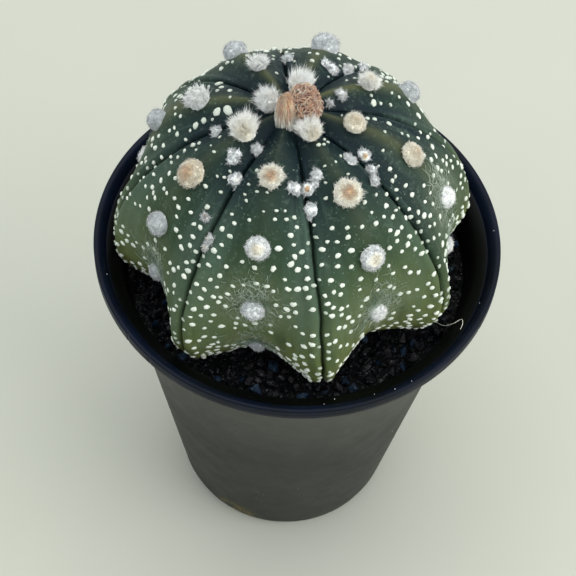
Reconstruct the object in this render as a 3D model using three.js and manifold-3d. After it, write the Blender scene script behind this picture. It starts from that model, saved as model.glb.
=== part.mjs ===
// Potted star cactus: a domed, eight-ribbed cactus in a small round nursery pot.
// Millimetres, +Z up. The origin is the middle of the pot's underside.
// Ribs run down from the crown like the sides of a tent, with valleys between them. Low down
// the shape turns inside out: each rib's middle sinks into a hollow, and the plant stands out in
// a lobe along each groove.

import * as THREE from "three";
import { mergeVertices } from "three/addons/utils/BufferGeometryUtils.js";
import Module from "manifold-3d";

const wasm = await Module();
wasm.setup();

// Pot: a thin moulded cup with an overhanging flat lip
const RIM_RADIUS = 37.5;
const POT_HEIGHT = 76;
const LIP_INNER_RADIUS = 35.4;
const LIP_THICKNESS = 1.4;
const WALL = 1.1;
const NECK_RADIUS = 33.9;
const NECK_DEPTH = 2.4;
const SHOULDER_RADIUS = 33.2;
const SHOULDER_DEPTH = 7.5;
const BASE_RADIUS = 22.2;
const BASE_THICKNESS = 1.6;
const BASE_FILLET = 1.5;
const DRAIN_HOLES = 6;
const DRAIN_RADIUS = 2.6;
const DRAIN_RING = 14;
const POT_SIDES = 52;

// Clearance kept between neighbouring pieces
const GAP = 0.35;

// Fill: potting mix with a layer of dark angular grit on top
const GRIT_DEPTH = 7.9;
const GRIT_LAYER = 3;
const GRAIN_SPACING = 4.5;
const GRAIN_SIZE = [1.5, 2.3];
const GRAIN_SINK = 0.35;

// Cactus body: a dome on its own slightly leaning axis
const BODY_RADIUS = 31.9;
const DOME_HEIGHT = 32.2;
const UNDERSIDE_DEPTH = 16.9;
const EQUATOR_ABOVE_RIM = 2.4;
const OFF_CENTRE = [-1.1, 0.6];
const LEAN_FORWARD = THREE.MathUtils.degToRad(1.3);
const LEAN_LEFT = THREE.MathUtils.degToRad(-2.8);
const FULLNESS = 0.897;

// Ribs: bearings of the eight grooves in degrees, going clockwise from the front
const GROOVES = [-77.7, -124, -170.4, -218.9, -262.4, -305.5, -347.5, -392.3];

// Valleys between the upper ribs: full depth from START, gone between FADES and ENDS
const VALLEY_DEPTH = 2.25;
const VALLEY_SHARPNESS = 1.23;
const VALLEY_START = THREE.MathUtils.degToRad(10.7);
const VALLEY_FADES = THREE.MathUtils.degToRad(33);
const VALLEY_ENDS = THREE.MathUtils.degToRad(83);

// Lobes and hollows of the lower half, as shares of the radius
const LOBE_BULGE = 0.043;
const CREASE_DEPTH = 0.042;
const CREASE_WIDTH = 0.07;
const HOLLOW_DEPTH = 0.197;
const HOLLOW_SHARPNESS = 0.66;
const HOLLOW_SHARE = [1.08, 1, 1.09, 1.01, 1.02, 0.98, 0.76, 0.97];
const TURN_STARTS = THREE.MathUtils.degToRad(25.8);
const TURN_ENDS = THREE.MathUtils.degToRad(113.5);

// Where the surface is sampled: across one rib, and down from the crown in degrees
const ACROSS = [-1, -0.93, -0.8, -0.58, -0.3, 0, 0.3, 0.58, 0.8, 0.93];
const DOWN = [5, 12, 20, 28, 36, 44, 52, 60, 68, 76, 84, 92, 100, 109, 119, 131, 146, 163];

// Areoles: woolly cushions down the middle of each rib, by angle from the crown in degrees
const FIRST_AREOLE = [22, 13.5, 6, 20, 10.5, 26, 17.5, 9];
const AREOLE_SPREAD = [1, 0.96, 1.1, 1.02, 1.3, 0.97, 0.96, 1];
const AREOLE_STEP = 20.5;
const AREOLE_STEP_GROWTH = 0.1;
const LAST_AREOLE = 112;
const AREOLE_RADIUS = 2.2;
const AREOLE_HEIGHT = 1.9;
const BASE_AREOLE_SCALE = 0.62;
const TUFT_SIDES = 9;
const TUFT_RINGS = 4;
const TUFT_RAGGED = 0.12;

// Flecks: raised white scales of about a millimetre, in lines beside the grooves
const FLECK_LINES = [0.36, 0.78];
const FLECK_RADIUS = 0.58;
const FLECK_HEIGHT = 0.42;
const FLECK_BRIM = 0.17;
const FLECK_ROOT = 1;
const FLECK_CLEARANCE = 1.4;
const FLECK_FIRST = 27;
const FLECK_LAST = 117;
const FLECK_STEP = 15;

// Clumps of wool in and beside the upper grooves: rib, place across it, and angle from the
// crown in degrees
const WOOL_CLUMPS = [
  [0, -0.72, 24.5],
  [0, 0.93, 47],
  [1, -0.92, 14.5],
  [1, -0.5, 21.5],
  [1, -0.92, 26],
  [1, 0.87, 22],
  [4, -0.85, 27],
  [4, 0.65, 23.5],
  [4, 0.95, 29.5],
  [4, 0.93, 41],
  [5, 0.28, 15],
  [6, 0.76, 25],
  [6, 0.96, 29.5],
  [7, -0.76, 22.5],
  [7, 0.53, 21.5],
  [7, 0.87, 25],
  [7, 0.9, 31.5],
];
const CLUMP_RADIUS = 1.1;
const CLUMP_HEIGHT = 1;

// Crown wool: place beside the growing point, half widths and height of each tuft
const CROWN_TUFTS = [
  { x: -0.9, y: -2.7, wide: 2, deep: 2.7, tall: 4 },
  { x: 2.6, y: -0.9, wide: 2.6, deep: 2.6, tall: 4.2 },
  { x: 0.6, y: -1.2, wide: 2.6, deep: 1.6, tall: 2.4 },
];

// Taproot below the plant
const ROOT_RADIUS = 6.5;
const ROOT_TIP_RADIUS = 1.2;
const ROOT_LENGTH = 30;
const ROOT_SIDES = 12;

const TURN = Math.PI * 2;
const RIBS = GROOVES.length;
const GRIT_TOP = POT_HEIGHT - GRIT_DEPTH;

// Small helpers

function seededRandom(seed) {
  let state = seed;
  return () => {
    state = (state * 1664525 + 1013904223) % 4294967296;
    return state / 4294967296;
  };
}

function smoothRise(x, from, to) {
  return THREE.MathUtils.smoothstep(x, from, to);
}

function degrees(angle) {
  return THREE.MathUtils.degToRad(angle);
}

// Turns a closed geometry into a solid that can be joined and cut
function toSolid(geometry) {
  const bare = geometry.clone();
  bare.deleteAttribute("normal");
  bare.deleteAttribute("uv");
  const merged = mergeVertices(bare, 1e-4);
  return new wasm.Manifold(new wasm.Mesh({
    numProp: 3,
    vertProperties: new Float32Array(merged.attributes.position.array),
    triVerts: new Uint32Array(merged.index.array),
  }));
}

function toGeometry(solid) {
  const mesh = solid.getMesh();
  const geometry = new THREE.BufferGeometry();
  geometry.setAttribute("position", new THREE.BufferAttribute(mesh.vertProperties, 3));
  geometry.setIndex(new THREE.BufferAttribute(mesh.triVerts, 1));
  geometry.computeVertexNormals();
  return geometry;
}

// A turned solid from [radius, height] pairs that start and end on the axis
function turned(profile, sides) {
  const points = profile.map(([radius, height]) => new THREE.Vector2(radius, height));
  const geometry = new THREE.LatheGeometry(points, sides);
  geometry.rotateX(Math.PI / 2);
  return toSolid(geometry);
}

function joinAll(solids) {
  return wasm.Manifold.union(solids);
}

// Pot

function wallRadius(depth) {
  const share = (depth - SHOULDER_DEPTH) / (POT_HEIGHT - SHOULDER_DEPTH);
  return THREE.MathUtils.lerp(SHOULDER_RADIUS, BASE_RADIUS, share);
}

function makePot() {
  const filletTop = wallRadius(POT_HEIGHT - BASE_FILLET);
  const lip = POT_HEIGHT - LIP_THICKNESS;
  const outside = [
    [0, 0],
    [BASE_RADIUS - BASE_FILLET, 0],
    [BASE_RADIUS - BASE_FILLET * 0.29, BASE_FILLET * 0.29],
    [filletTop, BASE_FILLET],
    [SHOULDER_RADIUS, POT_HEIGHT - SHOULDER_DEPTH],
    [NECK_RADIUS, POT_HEIGHT - NECK_DEPTH],
    [RIM_RADIUS - 0.4, lip],
    [RIM_RADIUS, lip + 0.4],
    [RIM_RADIUS, POT_HEIGHT - 0.4],
    [RIM_RADIUS - 0.4, POT_HEIGHT],
    [0, POT_HEIGHT],
  ];
  const inside = [
    [0, BASE_THICKNESS],
    [BASE_RADIUS - WALL - 0.6, BASE_THICKNESS],
    [wallRadius(POT_HEIGHT - BASE_THICKNESS - 0.6) - WALL, BASE_THICKNESS + 0.6],
    [SHOULDER_RADIUS - WALL, POT_HEIGHT - SHOULDER_DEPTH],
    [NECK_RADIUS - WALL, POT_HEIGHT - NECK_DEPTH - 0.9],
    [LIP_INNER_RADIUS, POT_HEIGHT - 0.25],
    [LIP_INNER_RADIUS, POT_HEIGHT + 1],
    [0, POT_HEIGHT + 1],
  ];
  const holes = [];
  for (let i = 0; i < DRAIN_HOLES; i += 1) {
    const hole = new THREE.CylinderGeometry(DRAIN_RADIUS, DRAIN_RADIUS, BASE_THICKNESS * 4, 16);
    hole.rotateX(Math.PI / 2);
    const bearing = ((i + 0.5) / DRAIN_HOLES) * TURN;
    hole.translate(DRAIN_RING * Math.cos(bearing), DRAIN_RING * Math.sin(bearing), 0);
    holes.push(toSolid(hole));
  }
  const cup = turned(outside, POT_SIDES).subtract(turned(inside, POT_SIDES));
  return cup.subtract(joinAll(holes));
}

// Cactus body surface

const lean = new THREE.Matrix4().makeRotationX(LEAN_FORWARD);
lean.multiply(new THREE.Matrix4().makeRotationY(LEAN_LEFT));
lean.setPosition(...OFF_CENTRE, POT_HEIGHT + EQUATOR_ABOVE_RIM);

// Which rib a bearing falls in, and how far it is from that rib's middle: 0 there, 1 at a groove
function ribAt(bearing) {
  const start = degrees(GROOVES[0]);
  const along = THREE.MathUtils.euclideanModulo(start - bearing, TURN);
  let rib = 0;
  while (rib < RIBS - 1 && along >= start - degrees(GROOVES[rib + 1])) rib += 1;
  const from = start - degrees(GROOVES[rib]);
  const to = rib === RIBS - 1 ? TURN : start - degrees(GROOVES[rib + 1]);
  return { rib, side: ((along - from) / (to - from)) * 2 - 1 };
}

// Bearing of a place on a rib: side runs from -1 at its first groove to 1 at the next
function bearingOn(rib, side) {
  const from = GROOVES[rib];
  const to = rib === RIBS - 1 ? GROOVES[0] - 360 : GROOVES[rib + 1];
  return degrees(THREE.MathUtils.lerp(from, to, (side + 1) / 2));
}

// A point of the body by its bearing and its angle down from the crown
function bodyPoint(bearing, down) {
  const { rib, side } = ribAt(bearing);
  const v = Math.abs(side);
  const hollow = HOLLOW_DEPTH * HOLLOW_SHARE[rib];
  const lower = 1 + LOBE_BULGE * v * v
    - hollow * (0.5 + 0.5 * Math.cos(Math.PI * v)) ** HOLLOW_SHARPNESS
    - CREASE_DEPTH * Math.exp(-(1 - v) / CREASE_WIDTH);
  const turn = smoothRise(down, TURN_STARTS, TURN_ENDS);
  const sphere = BODY_RADIUS * Math.sin(down) ** FULLNESS * THREE.MathUtils.lerp(1, lower, turn);
  const half = down < Math.PI / 2 ? DOME_HEIGHT : UNDERSIDE_DEPTH;
  const present = smoothRise(down, 0, VALLEY_START) * (1 - smoothRise(down, VALLEY_FADES, VALLEY_ENDS));
  const valley = VALLEY_DEPTH * present * v ** VALLEY_SHARPNESS;
  const radius = sphere - valley * Math.sin(down);
  const height = (half - valley) * Math.cos(down);
  const point = new THREE.Vector3(radius * Math.cos(bearing), radius * Math.sin(bearing), height);
  return point.applyMatrix4(lean);
}

function bodyNormal(bearing, down) {
  const step = 0.02;
  const around = bodyPoint(bearing + step, down).sub(bodyPoint(bearing - step, down));
  const along = bodyPoint(bearing, down + step).sub(bodyPoint(bearing, down - step));
  return along.cross(around).normalize();
}

// The closed body surface, swollen outwards by the given amount
function bodyShell(swell) {
  const rows = DOWN.map(degrees);
  const bearings = [];
  for (let rib = 0; rib < RIBS; rib += 1) {
    for (const side of ACROSS) bearings.push(bearingOn(rib, side));
  }
  const axis = new THREE.Vector3(0, 0, 1).transformDirection(lean);
  const crown = bodyPoint(0, 0).addScaledVector(axis, swell);
  const foot = bodyPoint(0, Math.PI - 1e-6).addScaledVector(axis, -swell);
  const points = [crown];
  for (const down of rows) {
    for (const bearing of bearings) {
      points.push(bodyPoint(bearing, down).addScaledVector(bodyNormal(bearing, down), swell));
    }
  }
  points.push(foot);
  const count = bearings.length;
  const last = points.length - 1;
  const faces = [];
  for (let i = 0; i < count; i += 1) {
    const next = (i + 1) % count;
    faces.push(0, 1 + next, 1 + i);
    for (let row = 0; row < rows.length - 1; row += 1) {
      const a = 1 + row * count + i;
      const b = 1 + row * count + next;
      faces.push(a, b, b + count, a, b + count, a + count);
    }
    const base = 1 + (rows.length - 1) * count;
    faces.push(last, base + i, base + next);
  }
  const geometry = new THREE.BufferGeometry();
  const numbers = points.flatMap((point) => point.toArray());
  geometry.setAttribute("position", new THREE.Float32BufferAttribute(numbers, 3));
  geometry.setIndex(faces);
  return toSolid(geometry);
}

function rootSolid(swell) {
  const top = POT_HEIGHT + EQUATOR_ABOVE_RIM - UNDERSIDE_DEPTH;
  const root = turned([
    [0, top - ROOT_LENGTH - swell],
    [ROOT_TIP_RADIUS + swell, top - ROOT_LENGTH - swell],
    [ROOT_RADIUS * 0.6 + swell, top - ROOT_LENGTH * 0.5],
    [ROOT_RADIUS + swell, top - 3],
    [ROOT_RADIUS + swell, top + 4],
    [0, top + 4],
  ], ROOT_SIDES);
  return root.translate([...OFF_CENTRE, 0]);
}

// Puts a solid made round the origin onto the body, its own Z along the surface normal
function seat(geometry, bearing, down, spin) {
  const normal = bodyNormal(bearing, down);
  const turnTo = new THREE.Quaternion().setFromUnitVectors(new THREE.Vector3(0, 0, 1), normal);
  geometry.rotateZ(spin);
  geometry.applyQuaternion(turnTo);
  const at = bodyPoint(bearing, down);
  geometry.translate(at.x, at.y, at.z);
  return toSolid(geometry);
}

// A cushion of wool: a flattened ball with a ragged outline, half of it sunk in
function tuftGeometry(wide, deep, tall, random) {
  const ball = new THREE.SphereGeometry(1, TUFT_SIDES, TUFT_RINGS);
  ball.rotateX(Math.PI / 2);
  const strands = Array.from({ length: TUFT_SIDES }, () => 1 + TUFT_RAGGED * (random() - 0.5) * 2);
  const position = ball.attributes.position;
  for (let i = 0; i < position.count; i += 1) {
    const bearing = Math.atan2(position.getY(i), position.getX(i));
    const strand = Math.round((bearing / TURN + 1) * TUFT_SIDES) % TUFT_SIDES;
    const ragged = strands[strand];
    position.setX(i, position.getX(i) * wide * ragged);
    position.setY(i, position.getY(i) * deep * ragged);
    position.setZ(i, position.getZ(i) * tall);
  }
  return ball;
}

function areoleAngles(rib) {
  const angles = [];
  let down = FIRST_AREOLE[rib];
  while (down < LAST_AREOLE) {
    angles.push(down);
    down += AREOLE_SPREAD[rib] * (AREOLE_STEP + AREOLE_STEP_GROWTH * down);
  }
  return angles;
}

// Areoles get smaller and flatter towards the base
function areoleScale(down) {
  return THREE.MathUtils.lerp(1, BASE_AREOLE_SCALE, smoothRise(down, 55, 110));
}

// Areoles and wool clumps, each swollen by the given amount
function makeAreoles(swell) {
  const random = seededRandom(11);
  const tufts = [];
  for (let rib = 0; rib < RIBS; rib += 1) {
    for (const down of areoleAngles(rib)) {
      const size = areoleScale(down) * THREE.MathUtils.lerp(0.93, 1.07, random());
      const wide = AREOLE_RADIUS * size + swell;
      const tuft = tuftGeometry(wide, wide, AREOLE_HEIGHT * size + swell, random);
      tufts.push(seat(tuft, bearingOn(rib, 0), degrees(down), random() * TURN));
    }
  }
  for (const [rib, side, down] of WOOL_CLUMPS) {
    const wide = CLUMP_RADIUS + swell;
    const tuft = tuftGeometry(wide, wide, CLUMP_HEIGHT + swell, random);
    tufts.push(seat(tuft, bearingOn(rib, side), degrees(down), random() * TURN));
  }
  return tufts;
}

function makeFlecks() {
  const random = seededRandom(23);
  const clumps = WOOL_CLUMPS.map(([rib, side, down]) => bodyPoint(bearingOn(rib, side), degrees(down)));
  const flecks = [];
  for (let rib = 0; rib < RIBS; rib += 1) {
    const wool = areoleAngles(rib).map((down) => bodyPoint(bearingOn(rib, 0), degrees(down)));
    wool.push(...clumps);
    for (const sign of [-1, 1]) {
      FLECK_LINES.forEach((line, row) => {
        const start = FLECK_FIRST + (row * FLECK_STEP) / 2;
        for (let down = start; down < FLECK_LAST; down += FLECK_STEP) {
          const angle = degrees(down + (random() - 0.5) * 4);
          const bearing = bearingOn(rib, sign * (line + (random() - 0.5) * 0.1));
          const at = bodyPoint(bearing, angle);
          const clear = wool.every((place) => place.distanceTo(at) > AREOLE_RADIUS + FLECK_CLEARANCE);
          if (clear) flecks.push(fleckSolid(bearing, angle, random() * TURN));
        }
      });
    }
  }
  return flecks;
}

// One fleck: a low four-sided scale on a pointed root
function fleckSolid(bearing, down, spin) {
  const cap = new THREE.SphereGeometry(1, 4, 2);
  cap.rotateX(Math.PI / 2);
  const position = cap.attributes.position;
  for (let i = 0; i < position.count; i += 1) {
    const z = position.getZ(i);
    position.setX(i, position.getX(i) * FLECK_RADIUS);
    position.setY(i, position.getY(i) * FLECK_RADIUS);
    if (Math.abs(z) < 0.5) position.setZ(i, FLECK_BRIM);
    else position.setZ(i, z > 0 ? FLECK_HEIGHT : -FLECK_ROOT);
  }
  return seat(cap, bearing, down, spin);
}

function makeBody() {
  const plain = bodyShell(0).add(rootSolid(0));
  return plain.add(joinAll([...makeAreoles(0), ...makeFlecks()]));
}

// Wool over the growing point, resting on the crown between the youngest areoles
function makeCrownWool(bodyWithGap) {
  const random = seededRandom(5);
  const tufts = CROWN_TUFTS.map(({ x, y, wide, deep, tall }) => {
    const ball = tuftGeometry(wide, deep, tall, random);
    const down = Math.asin((Math.hypot(x, y) / BODY_RADIUS) ** (1 / FULLNESS));
    const place = new THREE.Vector3(x, y, DOME_HEIGHT * Math.cos(down)).applyMatrix4(lean);
    ball.translate(place.x, place.y, place.z);
    return toSolid(ball);
  });
  return joinAll(tufts).subtract(bodyWithGap).subtract(joinAll(makeAreoles(GAP)));
}

// Fill

function fillRadius(height) {
  return wallRadius(POT_HEIGHT - height) - WALL - GAP;
}

function makePottingMix(bodyWithGap) {
  const bottom = BASE_THICKNESS + GAP;
  const top = GRIT_TOP - GRIT_LAYER - GAP;
  const mix = turned([
    [0, bottom],
    [BASE_RADIUS - WALL - 0.8 - GAP, bottom],
    [fillRadius(bottom + 1), bottom + 1],
    [fillRadius(top), top],
    [0, top],
  ], POT_SIDES);
  return mix.subtract(bodyWithGap);
}

// How far the plant reaches at the level of the grit, in one direction
function bodyReach(bearing, height) {
  let down = Math.PI / 2;
  while (down < Math.PI && bodyPoint(bearing, down).z > height) down += 0.02;
  const edge = bodyPoint(bearing, down);
  return Math.hypot(edge.x, edge.y);
}

function makeGrit(bodyWithGap) {
  const random = seededRandom(37);
  const bottom = GRIT_TOP - GRIT_LAYER;
  const layer = turned([
    [0, bottom],
    [fillRadius(bottom), bottom],
    [fillRadius(GRIT_TOP), GRIT_TOP],
    [0, GRIT_TOP],
  ], POT_SIDES);
  const grains = [];
  const edge = fillRadius(GRIT_TOP);
  for (let ring = edge - GRAIN_SIZE[1]; ring > RIM_RADIUS * 0.5; ring -= GRAIN_SPACING) {
    const count = Math.round((TURN * ring) / GRAIN_SPACING);
    for (let i = 0; i < count; i += 1) {
      const bearing = ((i + random() * 0.6) / count) * TURN;
      const radius = ring + (random() - 0.7) * 1.2;
      const size = THREE.MathUtils.lerp(GRAIN_SIZE[0], GRAIN_SIZE[1], random());
      const grain = grainGeometry(size, random);
      const sunk = GRIT_TOP - size * GRAIN_SINK;
      grain.translate(radius * Math.cos(bearing), radius * Math.sin(bearing), sunk);
      const clearOfPlant = radius > bodyReach(bearing, GRIT_TOP) + 0.6;
      const clearOfWall = radius + size * 1.1 < edge;
      if (clearOfPlant && clearOfWall) grains.push(toSolid(grain));
    }
  }
  return layer.add(joinAll(grains)).subtract(bodyWithGap);
}

// A broken stone grain: a squashed twenty-faced block, turned at random
function grainGeometry(size, random) {
  const grain = new THREE.IcosahedronGeometry(size, 0);
  grain.scale(1, THREE.MathUtils.lerp(0.6, 0.95, random()), THREE.MathUtils.lerp(0.5, 0.8, random()));
  grain.rotateX(random() * TURN);
  grain.rotateZ(random() * TURN);
  return grain;
}

// Assembly

function piece(name, solid, color, roughness) {
  const material = new THREE.MeshStandardMaterial({ color, roughness, metalness: 0 });
  const mesh = new THREE.Mesh(toGeometry(solid), material);
  mesh.name = name;
  return mesh;
}

const bodyWithGap = bodyShell(GAP).add(rootSolid(GAP));

const plant = new THREE.Group();
plant.add(piece("cactus_body", makeBody(), 0x46603c, 0.6));
plant.add(piece("crown_wool", makeCrownWool(bodyWithGap), 0xb9855c, 1));

const holder = new THREE.Group();
holder.add(piece("pot", makePot(), 0x1d1f24, 0.45));
holder.add(piece("potting_mix", makePottingMix(bodyWithGap), 0x3a2d22, 1));
holder.add(piece("top_grit", makeGrit(bodyWithGap), 0x1c1a1c, 0.8));

const pottedCactus = new THREE.Group();
pottedCactus.add(holder);
pottedCactus.add(plant);

export default pottedCactus;
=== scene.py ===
"""Potted star cactus: the looks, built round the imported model.

Sizes are in metres. The plant's surface is one formula, body_points, which gives a point for a
bearing and an angle down from the crown. Everything on the plant is seated by that formula.
"""

from math import asin, cos, degrees, hypot, pi, radians, sin, sqrt

import bmesh
import bpy
import numpy as np
from mathutils import Matrix, Quaternion, Vector, noise


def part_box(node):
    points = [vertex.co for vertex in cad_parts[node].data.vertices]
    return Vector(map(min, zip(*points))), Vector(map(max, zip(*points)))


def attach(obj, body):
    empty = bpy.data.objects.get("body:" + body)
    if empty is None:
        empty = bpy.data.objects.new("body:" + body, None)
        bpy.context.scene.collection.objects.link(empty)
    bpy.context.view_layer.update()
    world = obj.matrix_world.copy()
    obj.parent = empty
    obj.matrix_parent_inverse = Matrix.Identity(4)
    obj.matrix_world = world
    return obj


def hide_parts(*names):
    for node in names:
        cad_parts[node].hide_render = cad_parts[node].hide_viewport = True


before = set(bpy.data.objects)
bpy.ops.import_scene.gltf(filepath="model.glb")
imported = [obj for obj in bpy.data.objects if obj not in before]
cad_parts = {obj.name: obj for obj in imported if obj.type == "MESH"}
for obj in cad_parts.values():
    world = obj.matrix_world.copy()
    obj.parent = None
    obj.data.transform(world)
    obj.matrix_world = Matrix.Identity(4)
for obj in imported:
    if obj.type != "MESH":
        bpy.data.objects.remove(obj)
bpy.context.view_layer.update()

TURN = 2 * pi
MM = 0.001

# Driving sizes from the frame
POT_LOW, POT_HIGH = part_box("pot")
RIM_RADIUS = (POT_HIGH.x - POT_LOW.x) / 2
POT_HEIGHT = POT_HIGH.z

# Pot
LIP_INNER_RADIUS = 35.7 * MM
LIP_THICKNESS = 2.4 * MM
RIM_OVAL = 0.013
WALL = 0.6 * MM
NECK_RADIUS = 33.3 * MM
NECK_DEPTH = 3.4 * MM
SHOULDER_RADIUS = 32.6 * MM
SHOULDER_DEPTH = 7.5 * MM
BASE_RADIUS = 22.2 * MM
BASE_THICKNESS = 1.6 * MM
BASE_FILLET = 1.5 * MM
DRAIN_HOLES = 6
DRAIN_RADIUS = 2.6 * MM
DRAIN_RING = 14 * MM
POT_SIDES = 192
SHARP_EDGE = radians(38)
LIP_CORNER = 0.35 * MM
# Depth of the seam round the lip's edge, in millimetres
LIP_SEAM = 0.06
STAIN_PLACE = Vector((-9.2, -20.8, 2)) * MM
STAIN_REACH = 6 * MM
# The middle of the wall's thickness: depth and radius, in millimetres; the inner wall within it gets black
# painted shade
MIDDLE_OF_WALL = [(1.5, 35.1), (2.3, 34.5), (3.4, 33.3), (4, 32.9), (7.5, 32.3), (76, 21.9)]
# Bearing and size of the nicks, and bearings of the dust, on the lip's edge
LIP_NICKS = [(-2.443, 0.35), (-2.284, 0.3), (-0.475, 0.3)]
LIP_DUST = [-1.399, -1.154, -1.052, -0.96, -0.372]

# Grit
GRIT_DEPTH = 7.9 * MM
GRIT_TOP = POT_HEIGHT - GRIT_DEPTH
GRIT_LAYER = 3 * MM
GRAIN_SHAPES = 40
# Layers of grains: tries, and lowest and highest place in millimetres from the top
GRAIN_LAYERS = ((3000, -1.5, -0.7), (6500, -0.6, 0.25))
GRAIN_OVERLAP = 0.74
# Radius of a grain in millimetres: the least, what the largest have more, and their rareness
GRAIN_RADIUS = (0.95, 0.85, 1.8)
# Kinds of grains: the share of them up to and with this kind, and the darkest and lightest colour
GRAIN_KINDS = {
    "black_grains": (0.6, (1, 2, 5), (11, 14, 22)),
    "brown_grains": (0.92, (5, 6, 9), (60, 56, 60)),
    "blue_grains": (0.97, (5, 15, 30), (24, 52, 76)),
    "teal_grains": (1.0, (8, 22, 28), (34, 62, 72)),
}
BLUE_PICK = 0.95
BLUE_RADIUS = (1.3, 1.8)
BLUE_GRAINS = [(-24.9, -17.1), (-19.4, -23.6), (-12.6, -27.9), (-5.7, -30), (2.5, -30.4), (11.6, -28.1),
               (20.2, -22.8), (20.5, -19.5), (30, 5.3)]

# Plant
BODY_RADIUS = 31.9 * MM
DOME_HEIGHT = 32.2 * MM
UNDERSIDE_DEPTH = 16.9 * MM
OFF_CENTRE = np.array([-1.1, 1.0, 0]) * MM
EQUATOR = POT_HEIGHT + 2.2 * MM
LEAN_FORWARD = radians(1.3)
LEAN_LEFT = radians(-2.8)
FULLNESS = 0.897
GROOVES = np.radians([-77.7, -124, -170.4, -218.9, -262.4, -305.5, -347.5, -392.3])
RIBS = len(GROOVES)
VALLEY_DEPTH = 2.25 * MM
VALLEY_SHARPNESS = 1.23
VALLEY_START = radians(10.7)
VALLEY_FADES = radians(33)
VALLEY_ENDS = radians(83)
LOBE_BULGE = 0.043
CREASE_DEPTH = 0.042
CREASE_WIDTH = 0.04
HOLLOW_DEPTH = 0.197
HOLLOW_SHARPNESS = 0.66
HOLLOW_SHARE = np.array([1.08, 1, 1.09, 1.01, 1.02, 0.98, 0.76, 0.97])
TURN_STARTS = radians(25.8)
TURN_ENDS = radians(113.5)
ROOT_RADIUS = 6.5 * MM
ROOT_TIP_RADIUS = 1.2 * MM
ROOT_LENGTH = 30 * MM

# Skin relief and colour that are too fine for the solids
CUT_DEPTH = 0.8 * MM
ROLL_RISE = 0.4 * MM
GROOVE_WANDER = 0.35 * MM
AREOLE_SEAT_DEPTH = 0.45 * MM
# Where the hollows start and the web in them ends, and how far their fuzz reaches
HOLLOWS_START = radians(60)
WEB_ENDS = radians(100)
FUZZ_REACH = 5.2 * MM
# How olive each rib's ridge is
RIDGE_SHARE = np.array([0.12, 0.25, 0.7, 0.75, 0.75, 0.85, 0.6, 0.2])
# How far each rib's colours are shifted towards the crown's (below 0) or the base's: painted shade on the
# ribs turned from the front, most on the one that faces right
RIB_SHADE_SHIFT = np.array([0.005, -0.02, -0.03, -0.02, -0.02, -0.03, -0.085, -0.005])
# How grey each rib's flanks are
GREY_FLANK = np.array([0.35, 0.35, 0.15, 0.1, 0.1, 0.1, 0, 0.1])
SIDE_STEPS = 22
ROWS_TO_BASE = 176
ROWS_BELOW = 20
BASE_ANGLE = radians(128)
LAST_ROW = radians(176)

# Areoles, by angle from the crown in degrees
FIRST_AREOLE = [22, 13.5, 5.4, 20, 6.6, 26, 17.5, 9]
AREOLE_SPREAD = [1, 0.96, 1.12, 1.02, 1.5, 0.97, 0.96, 1]
AREOLE_STEP = 20.5
AREOLE_STEP_GROWTH = [0.1, 0.1, 0, 0.1, 0.1, 0.1, 0.1, 0.1]
LAST_AREOLE = 108
AREOLE_RADIUS = 2.2 * MM
AREOLE_HEIGHT = 1.9 * MM
BASE_AREOLE_SCALE = 0.62

# Kinds of areole wool: tone in the middle and at the edge (0 blue-white, 0.35 cream, 0.65 tan,
# 1 brown), height and lumps of the felt, number of wisps, their length in millimetres and splay,
# and number of matted hairs
WOOL_KINDS = {
    "brush": (0.2, 0.15, 0.7, 0.1, 150, 1.9, 0.4, 400),
    "tuft": (0.18, 0.14, 0.9, 0.12, 110, 1.3, 0.75, 700),
    "shaggy": (0.35, 0.19, 0.75, 0.12, 250, 1.4, 0.9, 400),
    "fluffy": (0.17, 0.12, 0.85, 0.12, 130, 1.3, 1.1, 500),
    "button": (0.6, 0.27, 0.5, 0.08, 170, 0.9, 1.5, 350),
    "tan": (0.57, 0.4, 0.6, 0.12, 150, 0.65, 1.5, 480),
    "cream": (0.46, 0.34, 0.6, 0.12, 170, 0.75, 1.6, 450),
    "plain": (0.34, 0.085, 0.6, 0.08, 140, 0.6, 1.6, 300),
    "ball": (0.02, 0.01, 1.0, 0.06, 150, 0.5, 1.0, 150),
    "pearl": (0.16, 0.12, 1.0, 0.06, 150, 0.5, 1.0, 150),
    "woolly": (0.08, 0.06, 1.0, 0.06, 150, 0.5, 1.0, 150),
}
HAIRS_IN_WISP = 8
LONG_HAIR = 0.8
# Radius of the hairs
WISP_HAIR = 0.034 * MM
MATTED_HAIR = 0.036 * MM
COMBED_HAIR = 0.06 * MM
CURLY_HAIR = 0.075 * MM
WEB_HAIR = 0.038 * MM
# Web under an areole: number of hairs, spread across and down, its middle, and their length, in
# millimetres
WEB_HAIRS = 330
WEB_SPREAD = (2.1, 3.1)
WEB_MIDDLE = -1.6
WEB_LENGTH = (1.2, 3.2)

# The areoles that differ from the rest: rib and place down it, kind and size
AREOLE_LOOKS = {
    (0, 0): ("button", 0.9), (0, 1): ("plain", 1.02), (0, 2): ("woolly", 1.05),
    (1, 0): ("shaggy", 0.95), (1, 1): ("tan", 1.18), (2, 0): ("tuft", 0.9), (2, 1): ("fluffy", 0.98),
    (2, 3): ("pearl", 1.2), (3, 0): ("tuft", 0.6), (3, 1): ("ball", 1.1), (4, 0): ("brush", 0.8),
    (4, 1): ("ball", 1.2), (5, 0): ("shaggy", 0.66), (6, 0): ("cream", 0.92), (6, 1): ("cream", 1.05),
    (6, 2): ("pearl", 0.95), (6, 3): ("pearl", 1.0), (7, 0): ("shaggy", 0.8), (7, 1): ("button", 1.15),
    (7, 2): ("plain", 1.12), (7, 3): ("pearl", 0.95),
}
FRONT_RIBS = (0, 1, 6, 7)
# Where the wool of some areoles is combed to, as a direction in the scene
COMBED = {
    (1, 0): (-0.2, 0.5, 0.3), (7, 0): (-0.4, 0.6, 0.2), (4, 0): (0.3, 0.4, 0.3), (2, 0): (-0.4, 0.1, 0.1),
}

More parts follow.
